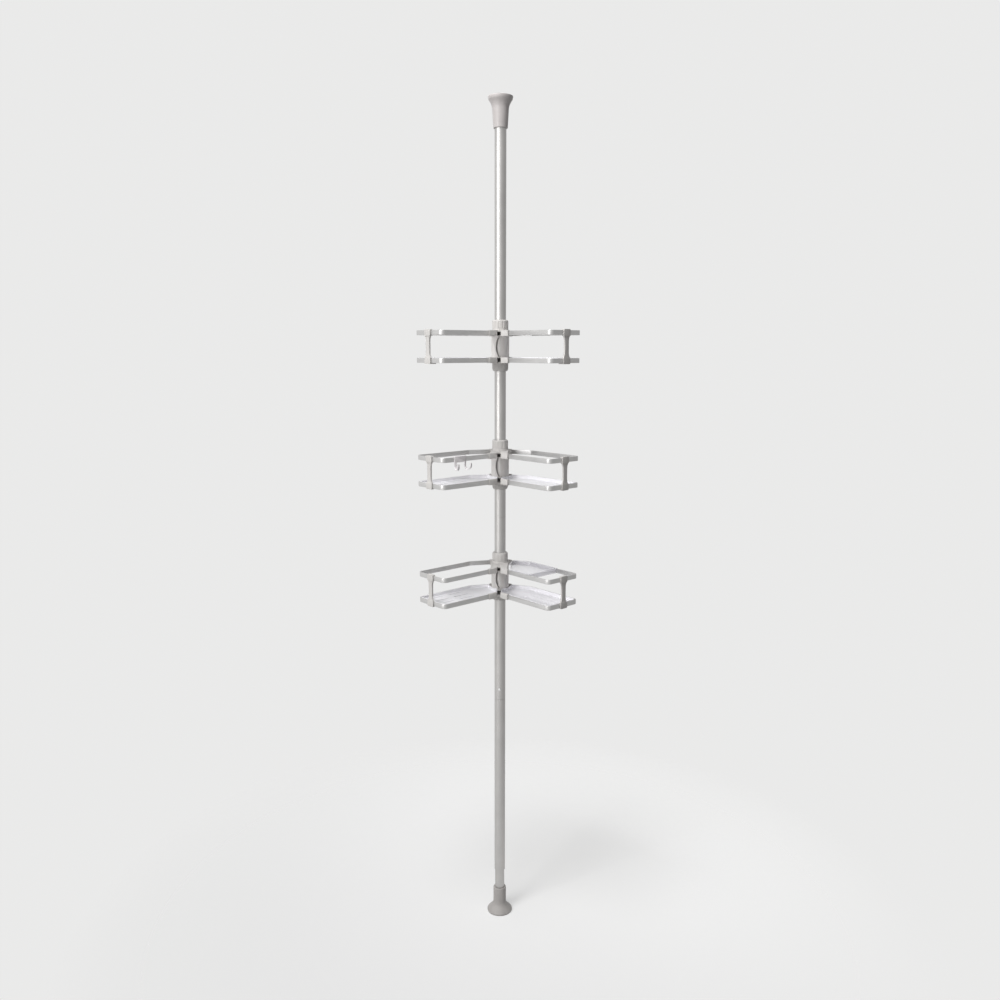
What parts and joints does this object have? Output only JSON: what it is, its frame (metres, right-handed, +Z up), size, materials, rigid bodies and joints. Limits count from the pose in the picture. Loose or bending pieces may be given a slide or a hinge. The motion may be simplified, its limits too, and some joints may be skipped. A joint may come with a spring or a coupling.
{
  "type": "tension pole shelf unit",
  "caption": "Floor-to-ceiling spring tension pole with three height-adjustable corner shelves, each with two ringed trays, for bathroom storage",
  "frame": {"origin": "on the pole's axis, where the foot stands on the floor", "axes": "+Z up along the pole, -Y to the front (away from the corner of the room that it stands in; the arms run forward at 45 degrees to both sides), +X to the right seen from the front"},
  "size_m": [0.3388, 0.1869, 1.861],
  "materials": {
    "tube_aluminium": "satin anodised, fine lengthwise grain",
    "band_aluminium": "satin anodised flat band",
    "grey_plastic": "fine matt moulded grey",
    "inner_plastic": "plain moulded grey",
    "soft_grey_rubber": "matt warm grey",
    "frosted_plastic": "frosted off-white, slightly see-through",
    "spring_steel": "bright drawn wire and strip"
  },
  "bodies": {
    "pole": {"ceiling_cap": "soft_grey_rubber", "ceiling_plug": "inner_plastic", "lower_tube": "tube_aluminium", "middle_tube": "tube_aluminium", "upper_tube": "tube_aluminium", "top_tube": "tube_aluminium", "lower_joiner": "inner_plastic", "middle_joiner": "inner_plastic", "upper_joiner": "inner_plastic", "spring_stop": "inner_plastic", "snap_spring": "spring_steel", "compression_spring": "spring_steel"},
    "plunger": {"plunger_tube": "tube_aluminium", "plunger_plug": "inner_plastic", "foot": "soft_grey_rubber"},
    "snap_button": {"snap_button": "spring_steel"},
    "top_shelf_sleeve": {"top_shelf_grip": "inner_plastic", "top_shelf_base_collar": "grey_plastic"},
    "top_shelf": {"top_shelf_hub_right": "grey_plastic", "top_shelf_hub_left": "grey_plastic", "top_shelf_lower_band_right": "band_aluminium", "top_shelf_lower_band_left": "band_aluminium", "top_shelf_upper_band_right": "band_aluminium", "top_shelf_upper_band_left": "band_aluminium", "top_shelf_bracket_right": "grey_plastic", "top_shelf_bracket_left": "grey_plastic"},
    "top_shelf_lock": {"top_shelf_lock_collar": "grey_plastic"},
    "top_shelf_tray_right": {"top_shelf_tray_right": "frosted_plastic"},
    "top_shelf_tray_left": {"top_shelf_tray_left": "frosted_plastic"},
    "middle_shelf_sleeve": {"middle_shelf_grip": "inner_plastic", "middle_shelf_base_collar": "grey_plastic"},
    "middle_shelf": {"middle_shelf_hub_right": "grey_plastic", "middle_shelf_hub_left": "grey_plastic", "middle_shelf_lower_band_right": "band_aluminium", "middle_shelf_lower_band_left": "band_aluminium", "middle_shelf_upper_band_right": "band_aluminium", "middle_shelf_upper_band_left": "band_aluminium", "middle_shelf_bracket_right": "grey_plastic", "middle_shelf_bracket_left": "grey_plastic"},
    "middle_shelf_lock": {"middle_shelf_lock_collar": "grey_plastic"},
    "middle_shelf_tray_right": {"middle_shelf_tray_right": "frosted_plastic"},
    "middle_shelf_tray_left": {"middle_shelf_tray_left": "frosted_plastic"},
    "low_shelf_sleeve": {"low_shelf_grip": "inner_plastic", "low_shelf_base_collar": "grey_plastic"},
    "low_shelf": {"low_shelf_hub_right": "grey_plastic", "low_shelf_hub_left": "grey_plastic", "low_shelf_lower_band_right": "band_aluminium", "low_shelf_lower_band_left": "band_aluminium", "low_shelf_upper_band_right": "band_aluminium", "low_shelf_upper_band_left": "band_aluminium", "low_shelf_bracket_right": "grey_plastic", "low_shelf_bracket_left": "grey_plastic"},
    "low_shelf_lock": {"low_shelf_lock_collar": "grey_plastic"},
    "low_shelf_tray_right": {"low_shelf_tray_right": "frosted_plastic"},
    "low_shelf_tray_left": {"low_shelf_tray_left": "frosted_plastic"},
    "soap_dish": {"soap_dish": "frosted_plastic"},
    "double_hook": {"double_hook": "frosted_plastic"}
  },
  "joints": [
    {"name": "plunger_slide", "type": "slide", "parent": "pole", "child": "plunger", "axis": [0, 0, 1], "range_m": [0, 0.04], "stiffness_N_per_m": 2500, "springref_m": -0.03, "deforming": ["compression_spring"]},
    {"name": "snap_button_press", "type": "slide", "parent": "pole", "child": "snap_button", "axis": [0, 1, 0], "range_m": [0, 0.0032], "stiffness_N_per_m": 800, "springref_m": -0.002},
    {"name": "top_shelf_height", "type": "slide", "parent": "pole", "child": "top_shelf_sleeve", "axis": [0, 0, 1], "range_m": [-0.13, 0.35]},
    {"name": "top_shelf_swivel", "type": "hinge", "parent": "top_shelf_sleeve", "child": "top_shelf", "pos_m": [0, 0, 1.315], "axis": [0, 0, 1], "continuous": true},
    {"name": "top_shelf_lock_turn", "type": "hinge", "parent": "top_shelf_sleeve", "child": "top_shelf_lock", "pos_m": [0, 0, 1.3921], "axis": [0, 0, 1], "range_deg": [0, 90]},
    {"name": "top_shelf_tray_right_lift", "type": "slide", "parent": "top_shelf", "child": "top_shelf_tray_right", "axis": [0, 0, 1], "range_m": [0, 0.035]},
    {"name": "top_shelf_tray_left_lift", "type": "slide", "parent": "top_shelf", "child": "top_shelf_tray_left", "axis": [0, 0, 1], "range_m": [0, 0.035]},
    {"name": "middle_shelf_height", "type": "slide", "parent": "pole", "child": "middle_shelf_sleeve", "axis": [0, 0, 1], "range_m": [-0.12, 0.13]},
    {"name": "middle_shelf_swivel", "type": "hinge", "parent": "middle_shelf_sleeve", "child": "middle_shelf", "pos_m": [0, 0, 1.054], "axis": [0, 0, 1], "continuous": true},
    {"name": "middle_shelf_lock_turn", "type": "hinge", "parent": "middle_shelf_sleeve", "child": "middle_shelf_lock", "pos_m": [0, 0, 1.1311], "axis": [0, 0, 1], "range_deg": [0, 90]},
    {"name": "middle_shelf_tray_right_lift", "type": "slide", "parent": "middle_shelf", "child": "middle_shelf_tray_right", "axis": [0, 0, 1], "range_m": [0, 0.035]},
    {"name": "middle_shelf_tray_left_lift", "type": "slide", "parent": "middle_shelf", "child": "middle_shelf_tray_left", "axis": [0, 0, 1], "range_m": [0, 0.035]},
    {"name": "low_shelf_height", "type": "slide", "parent": "pole", "child": "low_shelf_sleeve", "axis": [0, 0, 1], "range_m": [-0.19, 0.12]},
    {"name": "low_shelf_swivel", "type": "hinge", "parent": "low_shelf_sleeve", "child": "low_shelf", "pos_m": [0, 0, 0.799], "axis": [0, 0, 1], "continuous": true},
    {"name": "low_shelf_lock_turn", "type": "hinge", "parent": "low_shelf_sleeve", "child": "low_shelf_lock", "pos_m": [0, 0, 0.8761], "axis": [0, 0, 1], "range_deg": [0, 90]},
    {"name": "low_shelf_tray_right_lift", "type": "slide", "parent": "low_shelf", "child": "low_shelf_tray_right", "axis": [0, 0, 1], "range_m": [0, 0.035]},
    {"name": "low_shelf_tray_left_lift", "type": "slide", "parent": "low_shelf", "child": "low_shelf_tray_left", "axis": [0, 0, 1], "range_m": [0, 0.035]},
    {"name": "soap_dish_lift", "type": "slide", "parent": "low_shelf", "child": "soap_dish", "axis": [0, 0, 1], "range_m": [0, 0.06]},
    {"name": "double_hook_slide", "type": "slide", "parent": "middle_shelf", "child": "double_hook", "axis": [-0.7071, -0.7071, 0], "range_m": [-0.06, 0.02]}
  ]
}
